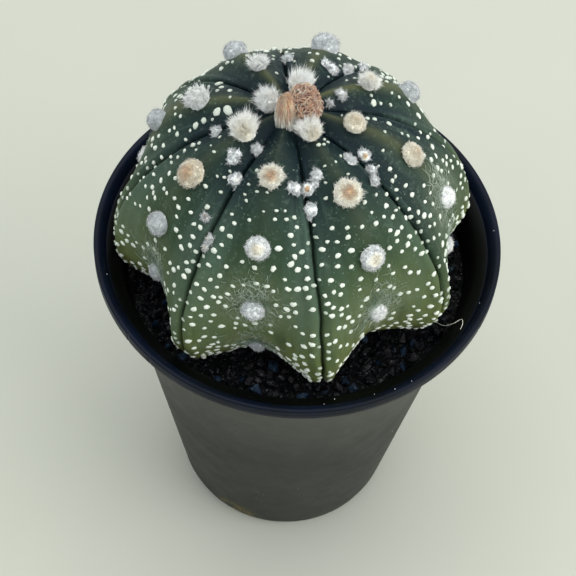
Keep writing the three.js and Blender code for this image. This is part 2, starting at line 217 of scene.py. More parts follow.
# Wool clumps in and beside the upper grooves: rib, place across it, degrees down, radius in
# millimetres and tone
WOOL_CLUMPS = [
    (0, -0.72, 24.5, 1.0, 0.1), (0, 0.93, 47, 0.7, 0.3), (0, 0.94, 50, 0.6, 0.35),
    (1, -0.92, 14.5, 0.9, 0.05), (1, -0.5, 21.5, 1.05, 0.0), (1, -0.92, 26, 1.1, 0.12),
    (1, -0.78, 41.5, 0.55, 0.7), (1, 0.87, 22, 0.9, 0.05), (4, -0.85, 27, 0.9, 0.0),
    (4, 0.65, 23.5, 1.15, 0.0), (4, 0.95, 29.5, 1.1, 0.0), (4, 0.93, 41, 1.0, 0.0),
    (5, 0.28, 15, 0.75, 0.05), (5, 0.59, 10.5, 0.4, 0.05), (6, 0.76, 25, 0.95, 0.55),
    (6, 0.96, 29.5, 0.95, 0.0), (7, -0.76, 22.5, 0.95, 0.0), (7, -0.87, 32.5, 0.8, 0.0),
    (7, 0.53, 21.5, 0.95, 0.02), (7, 0.87, 25, 1.0, 0.6), (7, 0.9, 31.5, 1.15, 0.05),
]
CLUMP_LUMPS = 4
LUMP_SHARE = (0.48, 0.7)
CLUMP_WISPS = 26
CLUMP_HAIR = 0.7 * MM

# Crown wool: place beside the growing point, half widths and height, in millimetres
COMBED_TUFT = (-0.5, -1.8, 1.75, 2.3, 4.7)
CURLY_TUFT = (2.3, -0.4, 2.8, 2.9, 4.7)
JOINING_TUFT = (0.6, -1.2, 2.6, 1.6, 2.4)

# Flecks round an areole: place across the rib, and millimetres down from the areole
CREST_FLECK = (0.02, -9.0)
ARCH = [(0.04, -5.9), (0.2, -5.8), (0.31, -4.8), (0.38, -2.8), (0.39, 0), (0.29, 3.1), (0.3, 5)]
# Rows below an areole: place across at its height, drift per millimetre, and where the row starts
INNER_ROW = (0.38, 0.024, 4.9)
OUTER_ROW = (0.56, 0.0205, -2.2)
PAIR_GAP = 1.65
ROW_GAP = 2.5
BASE_GAP = 1.9
BASE_ROWS = (96, 100, 104, 108)
# Share of the flecks that each rib keeps
FLECK_SHARE = [0.88, 0.7, 0.6, 0.45, 0.45, 0.6, 0.8, 0.88]
FLECK_RADIUS = 0.35
FLECK_GROWTH = 0.12
FLECK_VARIES = (0.72, 1.2)
FIRST_FLECK = radians(12)
LAST_FLECK = radians(120)
FLECK_SPACING = 1.3
CLEAR_OF_AREOLE = 0.4 * MM
CLEAR_OF_WOOL = 1.5 * MM
FLECK_SIDES = 10
PATCH_DULLNESS = 0.35
# Larger pale patches on the upper ribs: rib, place across, degrees down, radius in millimetres
PALE_PATCHES = [
    (2, -0.44, 17.5, 0.8), (2, -0.45, 21.2, 0.72), (2, -0.56, 24.2, 0.66), (2, -0.6, 26, 0.5),
    (2, -0.65, 29.2, 0.6), (2, -0.66, 37, 0.45), (2, 0.85, 29, 0.6), (2, 0.72, 26, 0.5),
    (2, 0.63, 23.5, 0.62), (2, 0.56, 20.6, 0.5), (1, 0.81, 31, 0.55), (1, 0.77, 28.6, 0.42),
    (1, 0.71, 26.3, 0.55), (1, 0.88, 22, 0.6), (6, -0.59, 20, 0.5), (6, -0.66, 22.3, 0.42),
    (6, -0.74, 25, 0.5), (6, -0.74, 30.5, 0.6), (6, -0.03, 9.5, 0.5), (5, 0.62, 26, 0.6),
]
FLECK_RINGS = [(0.45, 0.9), (0.8, 0.62), (1, 0.12), (0.96, -0.9)]

# Pale fibre that lies on the grit and over the lip at the right, in millimetres
FIBRE = [(25.3, -12.5, 69.1), (26.3, -14.2, 70.5), (27.2, -15.8, 72.1), (28, -16.6, 73.7),
         (28.9, -17.1, 75.2), (30.1, -16.5, 76.1), (30.2, -17.9, 76.3), (29.7, -19.1, 76.1)]
FIBRE_RADIUS = 0.07 * MM

# Floor and light: each lamp's place, size, power and colour
FLOOR_SIZE = 6.0
ROOM_COLOUR = (0.92, 0.97, 1, 1)
ROOM_STRENGTH = 0.98
LAMPS = {
    "window": ((0, 0.22, 1.05), 1.0, 4.4, (1, 1, 0.97)),
    "fill": ((0.8, -0.3, 0.5), 0.8, 4.8, (1, 0.99, 0.95)),
}

# Camera, fitted to the pot's rim and base
SENSOR_WIDTH = 36
FOCAL_PIXELS = 1500
PICTURE = 576
CAMERA_DISTANCE = 7.378 * RIM_RADIUS
CAMERA_ELEVATION = radians(55.28)
CAMERA_ROLL = radians(3.67)
RIM_CENTRE_PIXEL = (297.97, 233.25)


# Colours and materials

def srgb(r, g, b):
    """A colour picked on the 0 to 255 scale, as the linear colour that shaders take."""
    def linear(c):
        c /= 255
        return c / 12.92 if c <= 0.04045 else ((c + 0.055) / 1.055) ** 2.4
    return (linear(r), linear(g), linear(b), 1)


class Shader:
    """A material under construction: short calls that add and link nodes."""

    def __init__(self, name, roughness=0.5, specular=0.5):
        self.material = bpy.data.materials.new(name)
        self.material.use_nodes = True
        self.tree = self.material.node_tree
        self.bsdf = self.tree.nodes["Principled BSDF"].inputs
        self.bsdf["Roughness"].default_value = roughness
        self.bsdf["Specular IOR Level"].default_value = specular
        self.coords = self.node("TexCoord", {}, "Object")

    def plug(self, source, target):
        """Gives an input its source: a node's output, a number or a picked colour."""
        if hasattr(source, "is_output"):
            self.tree.links.new(source, target)
        else:
            target.default_value = srgb(*source) if isinstance(source, tuple) else source

    def node(self, kind, inputs, output=0, **settings):
        made = self.tree.nodes.new("ShaderNode" + kind)
        for key, value in settings.items():
            setattr(made, key, value)
        for key, value in inputs.items():
            self.plug(value, made.inputs[key])
        return made.outputs[output]

    def noise(self, scale, detail=3, roughness=0.55, distortion=0.0):
        inputs = {"Scale": scale, "Detail": detail, "Roughness": roughness, "Distortion": distortion}
        return self.node("TexNoise", {**inputs, "Vector": self.coords}, "Fac")

    def cells(self, scale):
        return self.node("TexVoronoi", {"Scale": scale, "Vector": self.coords}, "Distance")

    def attribute(self, name):
        return self.node("Attribute", {}, "Fac", attribute_name=name)

    def fit(self, value, low, high, out_low=0.0, out_high=1.0):
        inputs = {"From Min": low, "From Max": high, "To Min": out_low, "To Max": out_high}
        return self.node("MapRange", {**inputs, "Value": value}, "Result")

    def math(self, operation, a, b):
        return self.node("Math", {0: a, 1: b}, operation=operation)

    def times(self, a, b):
        return self.math("MULTIPLY", a, b)

    def plus(self, a, b):
        return self.math("ADD", a, b)

    def ramp(self, value, *stops):
        """A colour ramp, each stop a place and a picked colour."""
        colour = self.node("ValToRGB", {"Fac": value}, "Color")
        elements = colour.node.color_ramp.elements
        while len(elements) < len(stops):
            elements.new(0.5)
        for element, (place, *picked) in zip(elements, stops):
            element.position = place
            element.color = srgb(*picked)
        return colour

    def colour(self, value):
        self.plug(value, self.bsdf["Base Color"])
        self.so_far = value

    def over(self, factor, value, blend="MIX"):
        """Lays a colour over the one so far."""
        inputs = {0: factor, 6: self.so_far, 7: value}
        self.colour(self.node("Mix", inputs, 2, data_type="RGBA", blend_type=blend))

    def rough(self, value):
        self.plug(value, self.bsdf["Roughness"])

    def bump(self, height, distance, strength=1.0):
        inputs = {"Distance": distance, "Strength": strength, "Height": height}
        self.plug(self.node("Bump", inputs, "Normal"), self.bsdf["Normal"])


def pot_material():
    """Blue-black moulded plastic: cleaner on the lip, dull and dusty on the wall, with a painted reflection
    high on the wall, painted shade low on it, and black painted shade on the inner wall.
    """
    sh = Shader("pot_plastic", specular=0.12)
    up = sh.fit(sh.node("SeparateXYZ", {"Vector": sh.coords}, "Z"), 0, POT_HEIGHT)
    lip = sh.fit(up, 0.966, 0.968)
    sh.colour(sh.ramp(sh.noise(60, 5, 0.6), (0.3, 48, 50, 46), (0.7, 60, 62, 57)))
    # Painted reflection: the wall lighter towards the lip.
    sh.over(sh.fit(up, 0.5, 0.95, 0, 0.8), (88, 90, 83))
    # Painted shade: the wall darker towards the bottom.
    sh.over(sh.fit(up, 0.6, 0.0, 0, 0.5), (48, 50, 46))
    dust = sh.times(sh.fit(sh.noise(900, 4, 0.7), 0.62, 0.75), sh.fit(up, 0.9, 0.1, 0.15, 0.6))
    sh.over(dust, (112, 110, 96))
    to_stain = sh.node("VectorMath", {0: sh.coords, 1: STAIN_PLACE}, "Value", operation="DISTANCE")
    near = sh.fit(to_stain, STAIN_REACH, 1 * MM, 0, 0.9)
    sh.over(sh.times(near, sh.fit(sh.noise(450, 4, 0.7, 0.6), 0.45, 0.6)), (124, 108, 52))
    sh.over(lip, sh.ramp(sh.noise(140, 4), (0.3, 3, 8, 17), (0.75, 8, 18, 38)))
    # Black painted shade on the inner wall.
    sh.over(sh.fit(sh.attribute("inside"), 0, 0.2), (1, 2, 2))
    worn = sh.fit(sh.noise(220, 4, 0.65), 0.3, 0.7, 0.5, 0.64)
    sh.rough(sh.math("SUBTRACT", worn, sh.times(lip, 0.16)))
    sh.bump(sh.noise(1600, 3, 0.6), 0.00003, 0.6)
    return sh.material


def skin_material():
    """Waxy skin: blue-green valleys, olive ridges, yellow-green base, grey fuzz in the hollows; painted
    shade on the upper valleys' flanks, in the creases and on the ribs turned from the front.
    """
    sh = Shader("cactus_skin", specular=0.12)
    down, side, streak, fuzz = (sh.attribute(name) for name in ("down", "side", "streak", "fuzz"))
    sh.colour(sh.ramp(
        sh.plus(down, sh.fit(sh.noise(60, 3), 0.3, 0.7, -0.03, 0.03)),
        (0.05, 20, 34, 35), (0.17, 33, 51, 44), (0.3, 52, 71, 48), (0.45, 87, 100, 63), (0.56, 116, 124, 70),
    ))
    sh.over(sh.attribute("ridge"), (80, 84, 56))
    # Painted shade: the upper ribs' flanks darkened towards the valleys, deepening their blue-green.
    valley_shade = sh.times(sh.fit(side, 0.3, 0.85), sh.fit(down, 0.34, 0.14))
    sh.over(sh.times(valley_shade, 0.8), (16, 30, 38))
    sh.over(sh.times(sh.attribute("grey"), sh.fit(down, 0.48, 0.36)), (84, 104, 92))
    sh.over(sh.times(sh.fit(streak, 0.52, 0.85, 0, 0.38), sh.fit(side, 0.2, 0.7, 0.25, 1)), (76, 100, 84))
    sh.over(sh.fit(streak, 0.42, 0.12, 0, 0.35), (34, 54, 38))
    dots = sh.times(sh.fit(sh.cells(1300), 0.2, 0.12, 0, 0.6), sh.fit(sh.noise(240, 2), 0.42, 0.6))
    fluff = sh.fit(sh.noise(700, 6, 0.8, 0.8), 0.54, 0.7, 0, 0.3)
    sh.over(sh.plus(dots, fluff), (116, 138, 122))
    hair = sh.times(fuzz, sh.fit(sh.noise(1300, 5, 0.75, 1.6), 0.38, 0.6))
    sh.over(sh.times(hair, 0.65), (160, 166, 146))
    # Painted shade along the creases between the ribs.
    sh.over(sh.attribute("crease_shade"), (12, 22, 17))
    sh.rough(sh.fit(sh.noise(400, 3), 0.3, 0.7, 0.42, 0.56))
    sh.bump(sh.plus(sh.noise(2600, 3, 0.6), sh.times(hair, 0.8)), 0.00005, 0.6)
    return sh.material


def wool_material(name):
    """Plant wool: its tone runs from blue-white through cream and tan to brown, with painted shade towards
    the hair roots.
    """
    sh = Shader(name, roughness=0.9, specular=0.12)
    sh.colour(sh.ramp(
        sh.plus(sh.attribute("tone"), sh.fit(sh.noise(1800, 3, 0.7), 0.3, 0.7, -0.045, 0.045)),
        (0.0, 172, 177, 179), (0.05, 186, 191, 192), (0.12, 252, 254, 254), (0.22, 255, 254, 244),
        (0.32, 246, 240, 220), (0.44, 218, 206, 180), (0.56, 210, 180, 142), (0.68, 214, 162, 116),
        (0.8, 180, 128, 104), (1.0, 108, 64, 50),
    ))
    # Painted shade: the wool darkened towards the hair roots and on the felt.
    sh.over(0.25, sh.ramp(sh.attribute("tip"), (0.0, 236, 232, 226), (0.6, 255, 255, 255)), "MULTIPLY")
    sh.bsdf["Sheen Weight"].default_value = 0.9
    sh.bump(sh.noise(3200, 3, 0.7), 0.00008, 0.7)
    return sh.material


def fleck_material():
    """White woolly scales, the older ones dulled."""
    sh = Shader("fleck_wool", roughness=0.85, specular=0.15)
    sh.colour(sh.ramp(sh.noise(2400, 3), (0.3, 206, 214, 200), (0.6, 234, 238, 226)))
    sh.over(sh.attribute("dull"), (148, 160, 144))
    sh.bump(sh.noise(5200, 2), 0.00005, 0.7)
    return sh.material


def stone_material(name, dark, light, roughness=0.5):
    """Broken dark stone: mottled, with pale specks that are partly the stone's own speckle and partly
    painted highlights, and a faint glint.
    """
    sh = Shader(name, specular=0.2)
    sh.colour(sh.ramp(sh.noise(800, 5, 0.7), (0.4, *dark), (0.68, *light)))
    # Pale specks: the stone's speckle and painted highlights on its grains.
    sh.over(sh.fit(sh.noise(2300, 3, 0.7), 0.6, 0.66, 0, 0.85), (112, 112, 116))
    sh.rough(sh.fit(sh.noise(700, 3), 0.3, 0.7, roughness - 0.15, roughness + 0.15))
    sh.bump(sh.noise(1800, 4, 0.7), 0.0002, 0.9)
    return sh.material


def mix_material():
    """Dark crumbly potting mix."""
    sh = Shader("potting_mix", roughness=0.95, specular=0.2)
    sh.colour(sh.ramp(sh.noise(350, 6, 0.7), (0.3, 22, 17, 13), (0.7, 66, 50, 38)))
    sh.bump(sh.cells(700), 0.0004, 1.0)
    return sh.material


def floor_material():
    sh = Shader("floor_paint", roughness=0.8, specular=0.15)
    sh.colour(sh.ramp(sh.noise(5, 4, 0.6), (0.35, 184, 186, 173), (0.7, 192, 192, 181)))
    return sh.material


# Plant surface

LEAN = np.array(Matrix.Rotation(LEAN_FORWARD, 3, "X") @ Matrix.Rotation(LEAN_LEFT, 3, "Y"))


def polar(reach, bearing, height):
    """Points by their distance from the upright axis, bearing and height."""
    return np.stack(np.broadcast_arrays(reach * np.cos(bearing), reach * np.sin(bearing), height), -1)


def smooth_rise(x, start, end):
    t = np.clip((x - start) / (end - start), 0, 1)
    return t * t * (3 - 2 * t)


def unit(vectors):
    return vectors / np.maximum(np.linalg.norm(vectors, axis=-1, keepdims=True), 1e-12)


def rib_at(bearing):
    """Which rib each bearing falls in, and the place across it: 0 in the middle, -1 and 1 at grooves."""
    along = np.mod(GROOVES[0] - bearing, TURN)
    edges = np.append(GROOVES[0] - GROOVES, TURN)
    rib = np.clip(np.searchsorted(edges, along, side="right") - 1, 0, RIBS - 1)
    return rib, (along - edges[rib]) / (edges[rib + 1] - edges[rib]) * 2 - 1


def bearing_on(rib, side):
    """Bearing of a place across a rib."""
    edges = np.append(GROOVES, GROOVES[0] - TURN)
    start, end = edges[rib], edges[np.asarray(rib) + 1]
    return start + (end - start) * (np.asarray(side) + 1) / 2


def body_points(bearing, down):
    """Points of the plant's surface by bearing and angle down from the crown, both in radians."""
    bearing, down = np.broadcast_arrays(np.asarray(bearing, float), np.asarray(down, float))
    rib, side = rib_at(bearing)
    v = np.abs(side)
    hollow = HOLLOW_DEPTH * HOLLOW_SHARE[rib] * (0.5 + 0.5 * np.cos(pi * v)) ** HOLLOW_SHARPNESS
    lower = 1 + LOBE_BULGE * v * v - hollow - CREASE_DEPTH * np.exp(-(1 - v) / CREASE_WIDTH)
    turn = smooth_rise(down, TURN_STARTS, TURN_ENDS)
    sphere = BODY_RADIUS * np.abs(np.sin(down)) ** FULLNESS * (1 + (lower - 1) * turn)
    half = np.where(down < pi / 2, DOME_HEIGHT, UNDERSIDE_DEPTH)
    present = smooth_rise(down, 0, VALLEY_START) * (1 - smooth_rise(down, VALLEY_FADES, VALLEY_ENDS))
    valley = VALLEY_DEPTH * present * v ** VALLEY_SHARPNESS
    radius = sphere - valley * np.sin(down)
    height = (half - valley) * np.cos(down)
    return polar(radius, bearing, height) @ LEAN.T + OFF_CENTRE + np.array([0, 0, EQUATOR])


def body_along(bearing, down, step=0.02):
    """Movement of the surface point for a small step down."""
    return body_points(bearing, down + step) - body_points(bearing, down - step)


def body_normals(bearing, down, step=0.012):
    around = body_points(bearing + step, down) - body_points(bearing - step, down)
    return unit(np.cross(body_along(bearing, down, step), around))


def skin_points(bearing, down, proud=0.0):
    """Points on the finished skin, with its rolls and cuts beside the grooves, or proud of it."""
    _, side = rib_at(bearing)
    off = 1 - np.abs(side)
    roll = ROLL_RISE * np.exp(-((off - 0.13) / 0.07) ** 2) * smooth_rise(down, 0.2, 0.6)
    cut_in = CUT_DEPTH * np.exp(-off / 0.02) * smooth_rise(down, 0.1, 0.35)
    lift = np.asarray(roll - cut_in + proud)
    return body_points(bearing, down) + body_normals(bearing, down) * lift[..., None]


def mm_down(rib, side, down, millimetres):
    """The angle that lies some millimetres further down the surface."""
    step = 0.02
    per_radian = np.linalg.norm(body_along(bearing_on(rib, side), down, step)) / (2 * step)
    return down + millimetres * MM / per_radian


def areole_angles(rib):
    angles, down = [], FIRST_AREOLE[rib]
    while down < LAST_AREOLE:
        angles.append(radians(down))
        down += AREOLE_SPREAD[rib] * (AREOLE_STEP + AREOLE_STEP_GROWTH[rib] * down)
    return angles


def areole_look(rib, index, down):
    """Kind of wool and size of an areole."""
    kind, size = AREOLE_LOOKS.get((rib, index), ("cream" if down < radians(40) else "ball", 1.0))
    return kind, size * (1 + (BASE_AREOLE_SCALE - 1) * float(smooth_rise(degrees(down), 55, 110)))


AREOLES = [(rib, index, down) for rib in range(RIBS) for index, down in enumerate(areole_angles(rib))]
AREOLE_PLACES = np.array([body_points(bearing_on(rib, 0), down) for rib, _, down in AREOLES])
AREOLE_SIZES = np.array([areole_look(*areole)[1] * AREOLE_RADIUS for areole in AREOLES])


# Mesh helpers

def gather(parts):
    """Joins several (points, triangles, attributes) into one."""
    points, faces, attributes, offset = [], [], {}, 0
    for part_points, part_faces, part_attributes in parts:
        points.append(part_points)
        faces.append(np.asarray(part_faces) + offset)
        for key, values in part_attributes.items():
            attributes.setdefault(key, []).append(np.broadcast_to(values, len(part_points)))
        offset += len(part_points)
    joined = {key: np.concatenate(values) for key, values in attributes.items()}
    return np.concatenate(points), np.concatenate(faces), joined


def set_field(mesh, name, values):
    """A number for each vertex, which the materials read by name."""
    mesh.attributes.new(name, "FLOAT", "POINT").data.foreach_set("value", np.asarray(values, np.float32))


def link(name, data):
    made = bpy.data.objects.new(name, data)
    bpy.context.scene.collection.objects.link(made)
    return made


def make_piece(name, parts, material, smooth=True):
    """A piece of triangles that rides on the root body."""
    points, faces, attributes = gather(parts)
    mesh = bpy.data.meshes.new(name)
    mesh.vertices.add(len(points))
    mesh.vertices.foreach_set("co", np.asarray(points, np.float32).ravel())
    mesh.loops.add(faces.size)
    mesh.loops.foreach_set("vertex_index", faces.astype(np.int32).ravel())
    mesh.polygons.add(len(faces))
    mesh.polygons.foreach_set("loop_start", np.arange(0, faces.size, 3, dtype=np.int32))
    mesh.update(calc_edges=True)
    for key, values in attributes.items():
        set_field(mesh, key, values)
    mesh.shade_smooth() if smooth else mesh.shade_flat()
    mesh.materials.append(material)
    piece = link(name, mesh)
    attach(piece, "root")
    return piece


def make_wool(name, parts):
    return make_piece(name, parts, wool_material(name))


def band(count, start, next_start):
    """Triangles between two rings of vertices."""
    i = np.arange(count)
    j = (i + 1) % count
    a, b, c, d = start + i, start + j, next_start + j, next_start + i
    return np.concatenate([np.stack([a, b, c], 1), np.stack([a, c, d], 1)])


def fan(centre, count, start):
    """Triangles from one vertex to a ring."""
    i = np.arange(count)
    return np.stack([np.full(count, centre), start + i, start + (i + 1) % count], 1)


def closed_faces(sides, rings):
    """Triangles of a closed shape whose vertices are a point, some rings and a last point."""
    bands = [band(sides, 1 + k * sides, 1 + (k + 1) * sides) for k in range(rings - 1)]
    last = fan(1 + rings * sides, sides, 1 + (rings - 1) * sides)
    return np.concatenate([fan(0, sides, 1)[:, ::-1], *bands, last])


def lathe(profile, sides):
    """Points and faces of a turned shape whose profile starts and ends on the axis."""
    angles = np.arange(sides) * TURN / sides
    rings = [polar(radius, angles, height) for radius, height in profile[1:-1]]
    points = np.concatenate([[(0, 0, profile[0][1])], *rings, [(0, 0, profile[-1][1])]])
    return points, closed_faces(sides, len(rings))


def threads(paths, radius, tones=None, thin_tip=0.45):
    """Closed three-sided threads along many paths at once, each tapering to a point."""
    count, steps, _ = paths.shape
    tangent = unit(paths[:, -1] - paths[:, 0])
    helper = np.where(np.abs(tangent[:, 2:3]) < 0.9, [[0.0, 0, 1]], [[1.0, 0, 0]])
    across = unit(np.cross(helper, tangent))
    other = np.cross(tangent, across)
    rings = []
    for step in range(steps - 1):
        thickness = radius * (1 - (1 - thin_tip) * step / (steps - 1))
        for corner in range(3):
            angle = corner * TURN / 3
            rings.append(paths[:, step] + (across * cos(angle) + other * sin(angle)) * thickness)
    points = np.stack([*rings, paths[:, -1]], 1).reshape(-1, 3)
    per = 3 * (steps - 1) + 1
    pattern = [band(3, 3 * step, 3 * step + 3) for step in range(steps - 2)]
    pattern = np.concatenate([*pattern, fan(per - 1, 3, per - 4), [[2, 1, 0]]])
    faces = (pattern[None] + (np.arange(count) * per)[:, None, None]).reshape(-1, 3)
    tip = np.tile(np.repeat(np.arange(steps) / (steps - 1), [3] * (steps - 1) + [1]), count)
    return points, faces, {"tip": tip} if tones is None else {"tip": tip, "tone": np.repeat(tones, per)}


def hairs(roots, directions, lengths, radius, curl, rng, tones, segments=2):
    """Fine hairs that each bend to one side."""
    directions = unit(directions)
    bend = unit(np.cross(directions, rng.normal(0, 1, directions.shape))) * curl
    t = np.linspace(0, 1, segments + 1)
    reach = lengths[:, None, None]
    paths = roots[:, None] + reach * (directions[:, None] * t[:, None] + bend[:, None] * (t ** 2)[:, None])
    return threads(paths, radius, tones)


def emptied(shape):
    """A triangle bmesh as points and faces."""
    shape.verts.index_update()
    points = np.array([v.co for v in shape.verts])
    faces = np.array([[v.index for v in face.verts] for face in shape.faces])
    shape.free()
    return points, faces


def ball_points(level):
    """Points and triangles of a unit ball of even triangles."""
    shape = bmesh.new()
    bmesh.ops.create_icosphere(shape, subdivisions=level, radius=1)
    return emptied(shape)


def noise_at(points, scale, offset=(0, 0, 0)):
    shift = Vector(offset)
    return np.array([noise.noise(Vector(p) * scale + shift) for p in points])


# Pot

def pot_wall_radius(depth):
    share = (depth - SHOULDER_DEPTH) / (POT_HEIGHT - SHOULDER_DEPTH)
    return SHOULDER_RADIUS + (BASE_RADIUS - SHOULDER_RADIUS) * share


def arc(centre, radius, start, end, steps):
    """Profile points on a round corner, by angles in degrees."""
    return [
        (centre[0] + radius * cos(radians(a)), centre[1] + radius * sin(radians(a)))
        for a in np.linspace(start, end, steps)
    ]


def pot_profile():
    """Outline of the pot's section, from the underside's middle round the lip to the floor's middle."""
    def at(radius, out, depth, up):
        """A point by its millimetres out from a radius and up from a depth below the lip's top."""
        return radius + out * MM, POT_HEIGHT - depth + up * MM

    def wall(low, high, steps, inwards=0):
        return [(pot_wall_radius(d) - inwards, POT_HEIGHT - d) for d in np.linspace(low, high, steps)]

    half_lip = LIP_THICKNESS / 2
    foot = BASE_RADIUS - BASE_FILLET
    floor = pot_wall_radius(POT_HEIGHT - BASE_THICKNESS) - WALL
    return [
        (0, 0), (foot - 6 * MM, 0), (foot, 0),
        *arc((foot, BASE_FILLET), BASE_FILLET * 0.98, -80, -10, 6),
        *wall(POT_HEIGHT - 3 * MM, SHOULDER_DEPTH, 26),
        at(SHOULDER_RADIUS, 0.3, SHOULDER_DEPTH, 2.2),
        at(NECK_RADIUS, -0.1, NECK_DEPTH, -1), at(NECK_RADIUS, 0.25, NECK_DEPTH, 0.25),
        at(NECK_RADIUS, 1, LIP_THICKNESS, -0.1), at(RIM_RADIUS, -0.8, LIP_THICKNESS, 0),
        *arc((RIM_RADIUS - LIP_CORNER, POT_HEIGHT - LIP_THICKNESS + LIP_CORNER), LIP_CORNER, -80, 0, 4),
        at(RIM_RADIUS, 0, half_lip, -LIP_SEAM), at(RIM_RADIUS, -LIP_SEAM, half_lip, 0),
        at(RIM_RADIUS, -LIP_SEAM, half_lip, LIP_SEAM / 2), at(RIM_RADIUS, 0, half_lip, LIP_SEAM),
        *arc((RIM_RADIUS - LIP_CORNER, POT_HEIGHT - LIP_CORNER), LIP_CORNER, 0, 80, 5),
        at(RIM_RADIUS, -0.5, 0, 0), at(LIP_INNER_RADIUS, 1, 0, -0.05),
        at(LIP_INNER_RADIUS, 0.5, 0, -0.3), at(LIP_INNER_RADIUS, 0, 0, -0.9),
        at(LIP_INNER_RADIUS, -0.4, 0, -1.9), at(NECK_RADIUS, 0.4, LIP_THICKNESS, 0),
        at(NECK_RADIUS, -0.35, NECK_DEPTH, 0.3), at(NECK_RADIUS - WALL, -0.05, NECK_DEPTH, -0.6),
        at(SHOULDER_RADIUS - WALL, 0.1, SHOULDER_DEPTH, 1),
        *wall(SHOULDER_DEPTH, POT_HEIGHT - BASE_THICKNESS - 1 * MM, 20, WALL),
        (floor - 0.3 * MM, BASE_THICKNESS + 0.3 * MM), (floor - 1 * MM, BASE_THICKNESS), (0, BASE_THICKNESS),
    ]


def round_cutter(radius, depth, reach, bearing, height, sides):
    place = (reach * cos(bearing), reach * sin(bearing), height)
    bpy.ops.mesh.primitive_cylinder_add(vertices=sides, radius=radius, depth=depth, location=place)
    return bpy.context.object


def cut(obj, cutters):
    """Takes the cutters out of an object and removes them."""
    for tool in cutters:
        modifier = obj.modifiers.new("cut", "BOOLEAN")
        modifier.operation = "DIFFERENCE"
        modifier.solver = "EXACT"
        modifier.object = tool
    bpy.context.view_layer.update()
    mesh = bpy.data.meshes.new_from_object(obj.evaluated_get(bpy.context.evaluated_depsgraph_get()))
    material = obj.data.materials[0]
    obj.modifiers.clear()
    obj.data = mesh
    mesh.materials.clear()
    mesh.materials.append(material)
    mesh.polygons.foreach_set("material_index", np.zeros(len(mesh.polygons), np.int32))
    mesh.set_sharp_from_angle(angle=SHARP_EDGE)
    for tool in cutters:
        bpy.data.objects.remove(tool)


def make_pot():
    points, faces = lathe(pot_profile(), POT_SIDES)
    pot = make_piece("pot_shell", [(points, faces, {})], pot_material())
    holes = [
        (DRAIN_RADIUS, BASE_THICKNESS * 4, DRAIN_RING, (i + 0.5) / DRAIN_HOLES * TURN, 0, 40)
        for i in range(DRAIN_HOLES)
    ]
    nicks = [
        (size * 1.6 * MM, 6 * MM, RIM_RADIUS + size * 1.2 * MM, bearing, POT_HEIGHT, 20)
        for bearing, size in LIP_NICKS
    ]
    cut(pot, [round_cutter(*cutter) for cutter in holes + nicks])
    spots = np.array([v.co for v in pot.data.vertices])
    depth = POT_HEIGHT - spots[:, 2]
    edge = np.interp(depth, *(np.array(MIDDLE_OF_WALL).T * MM))
    # Where the material lays black painted shade: the inner wall below the lip.
    painted_shade_inside = (np.hypot(spots[:, 0], spots[:, 1]) < edge) & (spots[:, 2] > BASE_THICKNESS * 0.9)
    painted_shade_inside &= depth > 1.7 * MM
    spots[:, 1] *= 1 + RIM_OVAL * smooth_rise(depth, 9 * MM, 3 * MM)
    pot.data.vertices.foreach_set("co", spots.ravel().astype(np.float32))
    set_field(pot.data, "inside", painted_shade_inside)
    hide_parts("pot")


def make_dust():
    """White specks of dust on the lip and the wall."""
    rng = np.random.default_rng(5)
    ball = ball_points(1)
    spots = []
    for bearing in [*LIP_DUST, *rng.uniform(-pi, pi, 5)]:
        spots.append((RIM_RADIUS - rng.uniform(0.5, 1.8) * MM, bearing, POT_HEIGHT))
    for bearing, height in zip(rng.uniform(-pi, pi, 16), rng.uniform(4, 66, 16) * MM):
        spots.append((pot_wall_radius(POT_HEIGHT - height), bearing, height))
    parts = []
    for reach, bearing, height in spots:
        size = rng.uniform(0.04, 0.09, 3) * MM
        points = ball[0] * size + polar(reach, bearing, height)
        parts.append((points, ball[1], {"tone": 0.15, "tip": 1.0}))
    make_piece("dust_specks", parts, wool_material("dust"))


# Plant skin

def skin_grid():
    """Bearings and angles down of the skin's vertices, closest together at the grooves."""
    t = np.linspace(0, 1, SIDE_STEPS + 1)
    half = 1 - (1 - t) ** 1.7
    sides = np.concatenate([-half[:0:-1], half[:-1]])
    bearings = np.concatenate([bearing_on(rib, sides) for rib in range(RIBS)])
    visible = np.linspace(radians(0.8), BASE_ANGLE, ROWS_TO_BASE)
    hidden = np.linspace(BASE_ANGLE, LAST_ROW, ROWS_BELOW + 1)[1:]
    return np.meshgrid(bearings, np.concatenate([visible, hidden]))


